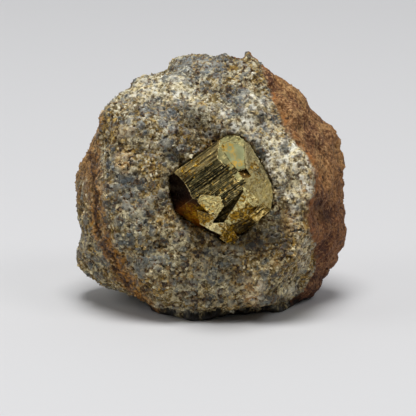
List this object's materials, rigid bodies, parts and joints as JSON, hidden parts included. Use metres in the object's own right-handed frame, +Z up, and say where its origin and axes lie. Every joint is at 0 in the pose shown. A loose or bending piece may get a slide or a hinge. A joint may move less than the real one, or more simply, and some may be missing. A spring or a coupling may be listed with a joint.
{
  "type": "pyrite specimen",
  "caption": "Pyrite crystal with striated, stepped faces, half sunk in a rough lump of granular rock with a brown rind; stands on a worn flat base.",
  "frame": {"origin": "middle of the bounding box, at the worn base", "axes": "+Z up, the broken face with the crystal towards -Y, +X to the right of it"},
  "size_m": [0.0558, 0.045, 0.0504],
  "materials": {
    "rock": "rough granular rock, grey and cream with rust-brown stains",
    "pyrite": "metallic pyrite, partly stained brown"
  },
  "bodies": {
    "root": {"matrix_rock": "rock", "pyrite_crystal": "pyrite"}
  },
  "joints": []
}
